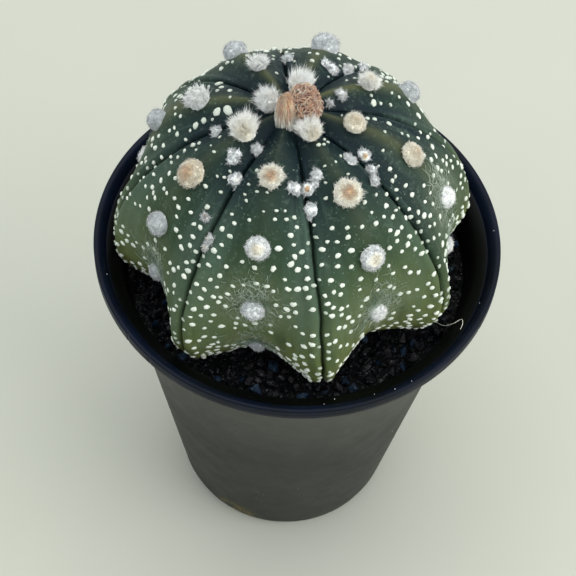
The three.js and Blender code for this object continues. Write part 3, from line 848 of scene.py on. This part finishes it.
def skin_part():
    """The skin's points, triangles and what its material reads, by vertex."""
    bearing, down = (grid.ravel() for grid in skin_grid())
    rib, side = rib_at(bearing)
    v = np.abs(side)
    flat = body_points(bearing, down)
    seat = np.zeros(len(flat))
    fuzz = np.zeros(len(flat))
    for (_, _, angle), place, size in zip(AREOLES, AREOLE_PLACES, AREOLE_SIZES):
        gap = np.linalg.norm(flat - place, axis=1)
        seat = np.maximum(seat, np.exp(-(gap / (size * 1.25)) ** 2))
        if angle > HOLLOWS_START:
            fuzz = np.maximum(fuzz, np.exp(-(gap / FUZZ_REACH) ** 2))
    round_about = polar(15, bearing, down * 2.4)
    outward = smooth_rise(down, 0.15, 0.7)
    streak = noise_at(round_about, 1) * 0.5 * outward + 0.5
    fine = noise_at(round_about * [2.6, 2.6, 1.6], 1) * outward
    wave = noise_at(flat, 180) * 0.16 + noise_at(flat, 520) * 0.05
    calm = 1 - 0.7 * np.exp(-(1 - v) / 0.05)
    proud = (wave + (streak - 0.5) * 0.3 + fine * 0.08) * calm * MM - seat * AREOLE_SEAT_DEPTH
    shape = skin_points(bearing, down, proud)
    groove = np.stack([np.round(np.cos(bearing), 1) * 9, np.round(np.sin(bearing), 1) * 9, down * 9], 1)
    wander = noise_at(groove, 1) * GROOVE_WANDER * np.exp(-(1 - v) / 0.08) * smooth_rise(down, 0.3, 0.8)
    around = np.stack([-np.sin(bearing), np.cos(bearing), np.zeros(len(bearing))], 1)
    shape += around * wander[:, None]
    points = np.concatenate([[body_points(0, 0.0)], shape, [body_points(0, pi)]])
    # Each rib's painted shade, faded out at the crown and the base.
    shift = smooth_rise(down, 0.1, 0.6) * (1 - smooth_rise(down, 1.3, 1.7)) * RIB_SHADE_SHIFT[rib]
    fields = {
        "down": down / pi + shift,
        "side": v,
        "fuzz": fuzz,
        "crease_shade": np.exp(-(1 - v) / 0.014) * smooth_rise(down, 0.08, 0.3) * 0.9,
        "ridge": np.exp(-(v / 0.2) ** 2) * (1 - smooth_rise(down, 0.7, 1.3)) * RIDGE_SHARE[rib],
        "streak": streak + fine * 0.35,
        "grey": GREY_FLANK[rib] * smooth_rise(v, 0.35, 0.75) * smooth_rise(down, 0.45, 0.8),
    }
    attributes = {key: np.concatenate([values[:1], values, values[-1:]]) for key, values in fields.items()}
    return points, closed_faces(RIBS * SIDE_STEPS * 2, ROWS_TO_BASE + ROWS_BELOW), attributes


def make_body():
    top = EQUATOR - UNDERSIDE_DEPTH
    root = [
        (0, -ROOT_LENGTH), (ROOT_TIP_RADIUS, -ROOT_LENGTH),
        (ROOT_RADIUS * 0.45, -ROOT_LENGTH * 0.7), (ROOT_RADIUS * 0.75, -ROOT_LENGTH * 0.35),
        (ROOT_RADIUS, -3 * MM), (ROOT_RADIUS, 4 * MM), (0, 4 * MM),
    ]
    points, faces = lathe([(radius, top + up) for radius, up in root], 32)
    skin = skin_part()
    plain = {**dict.fromkeys(skin[2], 0.0), "down": 1.0, "streak": 0.5}
    parts = [skin, (points + OFF_CENTRE, faces, plain)]
    body = make_piece("cactus_skin", parts, skin_material())
    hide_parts("cactus_body")


# Flecks

def row_flecks(rib, sign, down, row):
    """One row that starts beside an areole and runs down and outwards, its flecks in pairs."""
    start, drift, along = row
    found, step = [], 0
    angle = mm_down(rib, sign * start, down, along)
    while angle < LAST_FLECK:
        side = start + drift * along
        if side > 0.9:
            break
        found.append((sign * side, angle))
        base = float(smooth_rise(angle, radians(72), radians(96)))
        gap = (PAIR_GAP if step % 2 == 0 else ROW_GAP) * (1 - base) + BASE_GAP * base
        angle = mm_down(rib, sign * side, angle, gap)
        along += gap
        step += 1
    return found


def areole_flecks(rng):
    """Rib, place across, angle and dullness of the flecks over, beside and below each areole."""
    found = []
    for rib, _, down in AREOLES:
        spots = [(CREST_FLECK[0], mm_down(rib, 0, down, CREST_FLECK[1]))]
        for sign in (-1, 1):
            spots += [(sign * side, mm_down(rib, sign * side, down, along)) for side, along in ARCH]
            spots += row_flecks(rib, sign, down, INNER_ROW)
            spots += row_flecks(rib, sign, down, OUTER_ROW)
        for side, angle in spots:
            grown = float(smooth_rise(angle, radians(18), radians(46)))
            kept = (0.34 + 0.56 * grown) * FLECK_SHARE[rib]
            if rng.random() < kept or angle > radians(BASE_ROWS[0]):
                angle += rng.normal(0, 0.35) * MM / BODY_RADIUS
                side += rng.normal(0, 0.025)
                found.append((rib, side, angle, 0.35 * (1 - grown) + rng.random() * 0.25))
    return found


def base_flecks(rng):
    """Close rows of flecks along the plant's foot."""
    found = []
    for rib in range(RIBS):
        for row in BASE_ROWS:
            for side in np.arange(-0.84, 0.85, 0.07):
                if abs(side) > 0.14 and rng.random() < 0.75:
                    angle = radians(row + rng.normal(0, 0.6))
                    found.append((rib, side + rng.normal(0, 0.012), angle, rng.uniform(0, 0.3)))
    return found


def groove_flecks(rng):
    """Small dull flecks beside the grooves."""
    found = []
    for rib in range(RIBS):
        for sign in (-1, 1):
            angle = radians(40 + rng.uniform(0, 6))
            while angle < radians(118):
                side = sign * rng.uniform(0.9, 0.955)
                if rng.random() < 0.62:
                    found.append((rib, side, angle, rng.uniform(0.35, 0.8)))
                angle = mm_down(rib, side, angle, rng.uniform(1.4, 2.6))
    return found


def spaced(centres, sizes, gap):
    """Which places to keep so that none overlaps one kept before it."""
    kept = []
    for i, centre in enumerate(centres):
        distance = np.linalg.norm(centres[kept] - centre, axis=1)
        if not np.any(distance < (sizes[kept] + sizes[i]) * gap):
            kept.append(i)
    return kept


def fleck_shape(centre, normal, along, wide, deep, rng):
    """A low rough-edged cushion whose skirt dips into the skin."""
    tilt = rng.normal(0, 0.35)
    long_way = np.cross(normal, along) * cos(tilt) + along * sin(tilt)
    tall = rng.uniform(0.2, 0.3) * MM
    axes = np.array([long_way * wide, np.cross(normal, long_way) * deep, normal * tall])
    angles = np.arange(FLECK_SIDES) * TURN / FLECK_SIDES
    rings = []
    for share, height in FLECK_RINGS:
        outline = share * (1 + rng.normal(0, 0.12, FLECK_SIDES))
        rings.append(polar(outline, angles, height))
    return centre + np.concatenate([[(0, 0, 1)], *rings, [(0, 0, -1)]]) @ axes


def make_flecks():
    rng = np.random.default_rng(8)
    patches = [(r, s, radians(d), PATCH_DULLNESS) for r, s, d, _ in PALE_PATCHES]
    rib, side, down, dull = np.array(patches + areole_flecks(rng) + groove_flecks(rng) + base_flecks(rng)).T
    bearing = bearing_on(rib.astype(int), np.clip(side, -0.97, 0.97))
    centres = skin_points(bearing, down)
    grown = smooth_rise(down, radians(28), radians(50))
    varied = rng.uniform(*FLECK_VARIES, len(down))
    sizes = (FLECK_RADIUS + FLECK_GROWTH * grown) * varied * (1 - 0.38 * dull) * MM
    sizes[:len(patches)] = [radius * MM for _, _, _, radius in PALE_PATCHES]
    wool = np.array([body_points(bearing_on(r, s), radians(d)) for r, s, d, _, _ in WOOL_CLUMPS])
    to_areoles = np.linalg.norm(centres[:, None] - AREOLE_PLACES[None], axis=2)
    to_wool = np.linalg.norm(centres[:, None] - wool[None], axis=2)
    clear = np.all(to_areoles > AREOLE_SIZES[None] + CLEAR_OF_AREOLE, axis=1)
    clear &= np.all(to_wool > CLEAR_OF_WOOL, axis=1)
    clear &= (centres[:, 2] > GRIT_TOP - 1 * MM) & (down > FIRST_FLECK)
    index = np.flatnonzero(clear)
    index = index[spaced(centres[index], sizes[index], FLECK_SPACING)]
    normals = body_normals(bearing, down)
    along = unit(body_along(bearing, down))
    faces = closed_faces(FLECK_SIDES, len(FLECK_RINGS))[:, ::-1]
    low = smooth_rise(down, radians(70), radians(95))
    parts = []
    for i in index:
        wide = sizes[i] * (rng.uniform(1.02, 1.3) + 0.15 * low[i])
        deep = sizes[i] * rng.uniform(0.8, 0.98)
        shape = fleck_shape(centres[i], normals[i], along[i], wide, deep, rng)
        parts.append((shape, faces, {"dull": dull[i]}))
    make_piece("white_flecks", parts, fleck_material())


# Wool

def seat_frame(bearing, down):
    """A spot on the plant: its place, and its across, along and outward directions."""
    normal = body_normals(bearing, down)
    along = unit(body_along(bearing, down))
    return skin_points(bearing, down), np.array([np.cross(along, normal), along, normal])


def crown_frame(x, y):
    """The same beside the growing point, its outward direction along the plant's axis."""
    down = asin((hypot(x, y) * MM / BODY_RADIUS) ** (1 / FULLNESS))
    centre = LEAN @ np.array([x * MM, y * MM, DOME_HEIGHT * cos(down)])
    return centre + OFF_CENTRE + np.array([0, 0, EQUATOR]), LEAN.T


def felt_points(ball, size):
    """Points of a unit ball as a felt cushion: steep sides and a flatter top."""
    level = np.sign(ball[..., 2]) * np.abs(ball[..., 2]) ** 0.8
    return np.stack([ball[..., 0], ball[..., 1], level], -1) * np.array(size)


def wool_tone(ball, middle, edge, rng, comb=(0, 0, 0)):
    """Tone of the wool: one value in the middle of the cushion and another at its edge."""
    share = smooth_rise(np.hypot(ball[:, 0] + comb[0], ball[:, 1] + comb[1]), 0.25, 0.8)
    return middle + (edge - middle) * share + rng.normal(0, 0.04, len(ball))


def on_ball(height, swing):
    return polar(np.sqrt(1 - height ** 2), swing, height)


def cushion(ball, spot, size, lumps, middle, edge, rng, comb=(0, 0, 0)):
    """A lumpy felt cushion."""
    points, faces = ball
    bumps = noise_at(points, 2.6, rng.uniform(0, 50, 3)) + 0.5 * noise_at(points, 6, rng.uniform(0, 50, 3))
    local = felt_points(points, size) * (1 + lumps * bumps[:, None])
    tones = wool_tone(points, middle, edge, rng, comb)
    # The felt takes part of the wool's painted shade at the hair roots.
    return spot[0] + local @ spot[1], faces, {"tone": tones, "tip": 0.45}


def wisps(spot, size, count, length, splay, middle, edge, rng, segments=2, comb=(0, 0, 0)):
    """Hairs that stand out of a cushion in loose wisps, each wisp drawn together at its tip."""
    ball = on_ball(1 - rng.random(count), rng.uniform(0, TURN, count))
    ball = unit(ball + np.array(comb) * 0.15)
    lean = unit(ball * [splay, splay, 1] + [0, 0, 0.3]) + np.array(comb) + rng.normal(0, 0.24, (count, 3))
    reach = length * rng.uniform(0.55, 1.15, (count, 1))
    tips = felt_points(ball, size) * 0.9 + lean * reach
    total = count * HAIRS_IN_WISP
    each = unit(np.repeat(ball, HAIRS_IN_WISP, 0) + rng.normal(0, 0.2, (total, 3)))
    roots = felt_points(each, size) * 0.92
    away = np.repeat(tips, HAIRS_IN_WISP, 0) + rng.normal(0, 0.14, (total, 3)) * length - roots
    lengths = np.linalg.norm(away, axis=1) * rng.uniform(0.6, 1.05, total)
    tones = wool_tone(each, middle, edge, rng, comb)
    roots = spot[0] + roots @ spot[1]
    return hairs(roots, away @ spot[1], lengths, WISP_HAIR, 0.14, rng, tones, segments)


def lying_hairs(spot, size, start, heading, bend, lift, radius, tones, steps=4):
    """Hairs that follow the surface of a cushion, from points of its unit ball along headings."""
    t = np.linspace(0, 1, steps)[None, :, None]
    side = np.cross(start, heading)[:, None] * bend[:, None, None]
    ball = unit(start[:, None] + heading[:, None] * t + side * t * t)
    local = felt_points(ball, size) * (1 + lift * np.sin(pi * t))
    return threads(spot[0] + local @ spot[1], radius, tones)


def matted_hairs(spot, size, count, middle, edge, rng, comb):
    """Hairs that lie over a cushion every way."""
    ball = on_ball(rng.uniform(0, 1, count), rng.uniform(0, TURN, count))
    heading = unit(np.cross(ball, rng.normal(0, 1, (count, 3)))) * rng.uniform(0.35, 0.8, (count, 1))
    heading += np.array(comb) * 0.5
    tones = wool_tone(ball, middle, edge, rng, comb) + rng.normal(0, 0.04, count)
    lift = rng.uniform(0.02, 0.22, (count, 1, 1))
    return lying_hairs(spot, size, ball, heading, rng.normal(0, 0.35, count), lift, MATTED_HAIR, tones, 3)


def make_areoles():
    rng = np.random.default_rng(21)
    ball = ball_points(4)
    felt = []
    fluff = {"front_areole_hair": [], "back_areole_hair": []}
    for rib, index, down in AREOLES:
        kind, scale = areole_look(rib, index, down)
        middle, edge, height, lumps, count, length, splay, matted = WOOL_KINDS[kind]
        spot = seat_frame(bearing_on(rib, 0), down)
        wide, deep = AREOLE_RADIUS * scale * rng.uniform(0.83, 0.93, 2)
        size = (wide, deep, AREOLE_HEIGHT * scale * height)
        comb = spot[1] @ COMBED.get((rib, index), (0, 0, 0))
        felt.append(cushion(ball, spot, size, lumps, middle, edge, rng, comb))
        group = fluff["front_areole_hair" if rib in FRONT_RIBS else "back_areole_hair"]
        segments = 2 if length > LONG_HAIR else 1
        group.append(wisps(spot, size, count, length * MM, splay, middle, edge, rng, segments, comb))
        group.append(matted_hairs(spot, size, matted, middle, edge, rng, comb))
    for name, parts in {"areole_felt": felt, **fluff}.items():
        make_wool(name, parts)


def make_groove_wool():
    """White felted wool in the upper grooves, each clump of a few lumps."""
    rng = np.random.default_rng(33)
    ball = ball_points(3)
    parts = []
    for rib, side, angle, radius, tone in WOOL_CLUMPS:
        for lump in range(CLUMP_LUMPS):
            drift = rng.normal(0, 0.45, 2) * radius * MM * min(lump, 1)
            down = radians(angle) + drift[1] / BODY_RADIUS
            bearing = bearing_on(rib, side) + drift[0] / (BODY_RADIUS * sin(down))
            spot = seat_frame(bearing, down)
            wide = radius * (0.9 if lump == 0 else rng.uniform(*LUMP_SHARE)) * MM
            size = (wide, wide * 1.1, wide * 0.8)
            middle = tone + 0.06 if lump == 0 else 0.1
            parts.append(cushion(ball, spot, size, 0.3, middle, 0.08, rng))
            parts.append(wisps(spot, size, CLUMP_WISPS, CLUMP_HAIR, 1.1, middle, 0.06, rng, segments=1))
    make_wool("groove_wool", parts)


def combed_hairs(spot, size, count, rng):
    """Hairs combed upwards over a tuft, whitish and splayed at its foot."""
    ball = on_ball(rng.uniform(-0.5, 0.85, count), rng.uniform(0, TURN, count))
    upward = unit(np.array([0, 0, 1]) - ball * ball[:, 2:])
    heading = upward * rng.uniform(0.35, 0.9, (count, 1)) + rng.normal(0, 0.09, (count, 3))
    swing = np.arctan2(ball[:, 1], ball[:, 0])
    strand = np.round(swing * 9 + np.sin(swing * 5))
    tones = 0.66 + rng.normal(0, 0.06, count) + 0.12 * np.sin(strand * 37)
    foot = 1 - smooth_rise(ball[:, 2], -0.45, -0.1)
    tones -= (tones - 0.2) * foot
    lift = rng.uniform(0.02, 0.2, (count, 1, 1)) + 0.25 * foot[:, None, None]
    return lying_hairs(spot, size, ball, heading, rng.normal(0, 0.12, count), lift, COMBED_HAIR, tones)


def curly_hairs(spot, size, count, rng):
    """Hairs that curl over a tuft every way."""
    ball = on_ball(rng.uniform(-0.4, 1, count), rng.uniform(0, TURN, count))
    heading = unit(np.cross(ball, rng.normal(0, 1, (count, 3)))) * rng.uniform(0.25, 0.6, (count, 1))
    bend = rng.choice([-1, 1], count) * rng.uniform(0.6, 2.2, count)
    tones = np.where(rng.random(count) < 0.36, 0.5, 0.8) + rng.normal(0, 0.07, count)
    lift = rng.uniform(0.05, 0.3, (count, 1, 1))
    return lying_hairs(spot, size, ball, heading, bend, lift, CURLY_HAIR, tones, 6)


def make_crown():
    rng = np.random.default_rng(44)
    ball = ball_points(4)
    parts = []
    for tuft, tone, count, comb in (
        (COMBED_TUFT, 0.8, 1500, combed_hairs),
        (CURLY_TUFT, 0.95, 800, curly_hairs),
        (JOINING_TUFT, 0.95, 400, curly_hairs),
    ):
        spot = crown_frame(*tuft[:2])
        size = np.array(tuft[2:]) * 0.9 * MM
        parts.append(cushion(ball, spot, size, 0.12, tone, tone, rng))
        parts.append(comb(spot, size, count, rng))
    wool = make_wool("crown_brown_wool", parts)
    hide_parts("crown_wool")


def make_web():
    """Fine grey hairs that lie matted on the skin in the hollows under the lower areoles."""
    rng = np.random.default_rng(66)
    t = np.linspace(0, 1, 5)
    parts = []
    for rib, _, down in AREOLES:
        if not HOLLOWS_START < down < WEB_ENDS:
            continue
        across = rng.normal(0, WEB_SPREAD[0], (WEB_HAIRS, 1)) * MM / BODY_RADIUS
        below = rng.normal(WEB_MIDDLE, WEB_SPREAD[1], (WEB_HAIRS, 1)) * MM / BODY_RADIUS
        length = rng.uniform(*WEB_LENGTH, (WEB_HAIRS, 1)) * MM / BODY_RADIUS / len(t)
        heading = rng.uniform(0, TURN, (WEB_HAIRS, 1)) + rng.normal(0, 0.7, (WEB_HAIRS, 1)) * t
        bearing = bearing_on(rib, 0) + across + np.cumsum(np.cos(heading) * length, 1)
        angle = down + below + np.cumsum(np.sin(heading) * length, 1)
        lift = (0.06 + 0.3 * np.sin(pi * t)) * rng.uniform(0.3, 1.2, (WEB_HAIRS, 1)) * MM
        parts.append(threads(skin_points(bearing, angle, lift), WEB_HAIR))
    sh = Shader("hollow_web", roughness=0.9, specular=0.12)
    sh.colour(sh.ramp(sh.noise(300), (0.35, 118, 140, 120), (0.65, 196, 208, 192)))
    make_piece("hollow_web", parts, sh.material)


# Grit

def grain_shapes(rng):
    """Broken stone chips: convex shapes of a few random points, their edges a little worn."""
    shapes = []
    for _ in range(GRAIN_SHAPES):
        cloud = unit(rng.normal(0, 1, (13, 3))) * rng.uniform(0.75, 1.05, (13, 1))
        cloud *= np.array([1, rng.uniform(0.6, 0.95), rng.uniform(0.4, 0.85)])
        shape = bmesh.new()
        for point in cloud:
            shape.verts.new(point)
        hull = bmesh.ops.convex_hull(shape, input=shape.verts)
        spare = [e for e in hull["geom_interior"] if isinstance(e, bmesh.types.BMVert)]
        bmesh.ops.delete(shape, geom=spare, context="VERTS")
        bmesh.ops.bevel(shape, geom=shape.edges[:], offset=0.07, segments=1, affect="EDGES",
                        profile=0.5, clamp_overlap=True)
        bmesh.ops.triangulate(shape, faces=shape.faces[:])
        shapes.append(emptied(shape))
    return shapes


def body_reach(height):
    """A function that gives how far the plant reaches at a height, by bearing."""
    bearings = np.linspace(-pi, pi, 361)
    grid_bearing, grid_down = np.meshgrid(bearings, np.linspace(pi / 2, pi, 90))
    points = body_points(grid_bearing, grid_down)
    row = np.argmax(points[..., 2] < height, axis=0)
    x, y, _ = points[row, np.arange(len(bearings))].T
    return lambda bearing: np.interp(bearing, np.arctan2(y, x), np.hypot(x, y), period=TURN)


def grain_places(rng, edge):
    """Middle, size and kind of each grain, in two layers, none overlapping its layer's others much."""
    reach = body_reach(GRIT_TOP)
    least, more, rareness = GRAIN_RADIUS
    found = [
        (x * MM, y * MM, GRIT_TOP + 0.5 * MM, rng.uniform(*BLUE_RADIUS) * MM, BLUE_PICK)
        for x, y in BLUE_GRAINS
    ]
    for tries, low, high in GRAIN_LAYERS:
        taken = np.array([(x, y, size) for x, y, _, size, _ in found[:len(BLUE_GRAINS)]])
        for _ in range(tries):
            radius = edge * sqrt(rng.uniform(0.2, 1))
            bearing = rng.uniform(-pi, pi)
            size = (least + more * rng.random() ** rareness) * MM
            if radius > edge - size * 0.95 or radius < reach(bearing) - 1.5 * MM:
                continue
            x, y = radius * cos(bearing), radius * sin(bearing)
            gaps = np.hypot(taken[:, 0] - x, taken[:, 1] - y)
            if np.any(gaps < (taken[:, 2] + size) * GRAIN_OVERLAP):
                continue
            taken = np.vstack([taken, [x, y, size]])
            found.append((x, y, GRIT_TOP + rng.uniform(low, high) * MM, size, rng.random()))
    return found


def make_grit():
    rng = np.random.default_rng(55)
    shapes = grain_shapes(rng)
    edge = pot_wall_radius(GRIT_DEPTH) - WALL
    groups = {name: [] for name in GRAIN_KINDS}
    for x, y, z, size, pick in grain_places(rng, edge):
        points, faces = shapes[rng.integers(len(shapes))]
        turn = np.array(Quaternion(unit(rng.normal(0, 1, 4))).to_matrix())
        placed = (points * size) @ turn.T + np.array([x, y, z])
        name = next(key for key, (share, _, _) in GRAIN_KINDS.items() if pick <= share)
        groups[name].append((placed, faces, {}))
    for name, parts in groups.items():
        make_piece(name, parts, stone_material(name, *GRAIN_KINDS[name][1:]), smooth=False)
    make_grit_bed(edge)


def make_grit_bed(edge):
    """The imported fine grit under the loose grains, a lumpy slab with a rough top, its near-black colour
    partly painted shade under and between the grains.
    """
    rings, sides = 40, 160
    reach = edge - 0.2 * MM
    bottom = GRIT_TOP - GRIT_LAYER
    top = [(reach * k / rings, GRIT_TOP - 1.3 * MM) for k in range(1, rings + 1)]
    points, faces = lathe([(0, GRIT_TOP - 1.8 * MM), *top, (reach - 0.6 * MM, bottom), (0, bottom)], sides)
    rough = slice(1, 1 + rings * sides)
    points[rough, 2] += noise_at(points[rough], 900) * 0.4 * MM
    # The grit's dark colour deepened to near-black as painted shade.
    material = stone_material("grit_bed", (1, 1, 3), (7, 8, 12), 0.8)
    bed = make_piece("grit_bed", [(points, faces[:, ::-1], {})], material)
    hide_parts("top_grit")


def make_fibre():
    """A pale stray fibre on the grit."""
    knots = np.array(FIBRE) * MM
    where = np.linspace(0, len(knots) - 1, 60)
    path = np.stack([np.interp(where, np.arange(len(knots)), knots[:, k]) for k in range(3)], 1)
    for _ in range(12):
        path[1:-1] = (path[:-2] + 2 * path[1:-1] + path[2:]) / 4
    make_wool("stray_fibre", [threads(path[None], FIBRE_RADIUS, [0.3], 0.7)])


# Stage, light and camera

def make_stage():
    half = FLOOR_SIZE / 2
    mesh = bpy.data.meshes.new("floor")
    corners = [(-half, -half, 0), (half, -half, 0), (half, half, 0), (-half, half, 0)]
    mesh.from_pydata(corners, [], [(0, 1, 2, 3)])
    mesh.materials.append(floor_material())
    floor = link("floor", mesh)


def make_lights():
    """An even room, and round lamps that shine at the middle of the pot's rim."""
    world = bpy.data.worlds.new("soft_room")
    world.use_nodes = True
    background = world.node_tree.nodes["Background"].inputs
    background["Color"].default_value = ROOM_COLOUR
    background["Strength"].default_value = ROOM_STRENGTH
    bpy.context.scene.world = world
    for name, (place, size, power, colour) in LAMPS.items():
        data = bpy.data.lights.new(name, "AREA")
        data.shape, data.size, data.energy, data.color = "DISK", size, power, colour
        lamp = link(name, data)
        lamp.location = place
        aim = Vector((0, 0, POT_HEIGHT)) - Vector(place)
        lamp.rotation_euler = aim.to_track_quat("-Z", "Y").to_euler()
    bpy.context.scene.view_settings.view_transform = "Standard"


def make_camera():
    """The camera, turned so that the middle of the pot's rim lies at its place in the picture."""
    data = bpy.data.cameras.new("camera")
    data.sensor_width = SENSOR_WIDTH
    data.lens = SENSOR_WIDTH * FOCAL_PIXELS / PICTURE
    camera = link("camera", data)
    turn = Matrix.Rotation(pi / 2 - CAMERA_ELEVATION, 3, "X") @ Matrix.Rotation(CAMERA_ROLL, 3, "Z")
    right, down = (pixel - PICTURE / 2 for pixel in RIM_CENTRE_PIXEL)
    ray = turn @ Vector((right, -down, -FOCAL_PIXELS)).normalized()
    place = Vector((0, 0, POT_HEIGHT)) - ray * CAMERA_DISTANCE
    camera.matrix_world = Matrix.Translation(place) @ turn.to_4x4()
    bpy.context.scene.camera = camera


make_camera()
make_lights()
make_stage()
make_pot()
make_dust()
make_grit()
make_fibre()
make_body()
make_flecks()
make_areoles()
make_groove_wool()
make_crown()
make_web()

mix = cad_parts["potting_mix"]
mix.data.materials.clear()
mix.data.materials.append(mix_material())
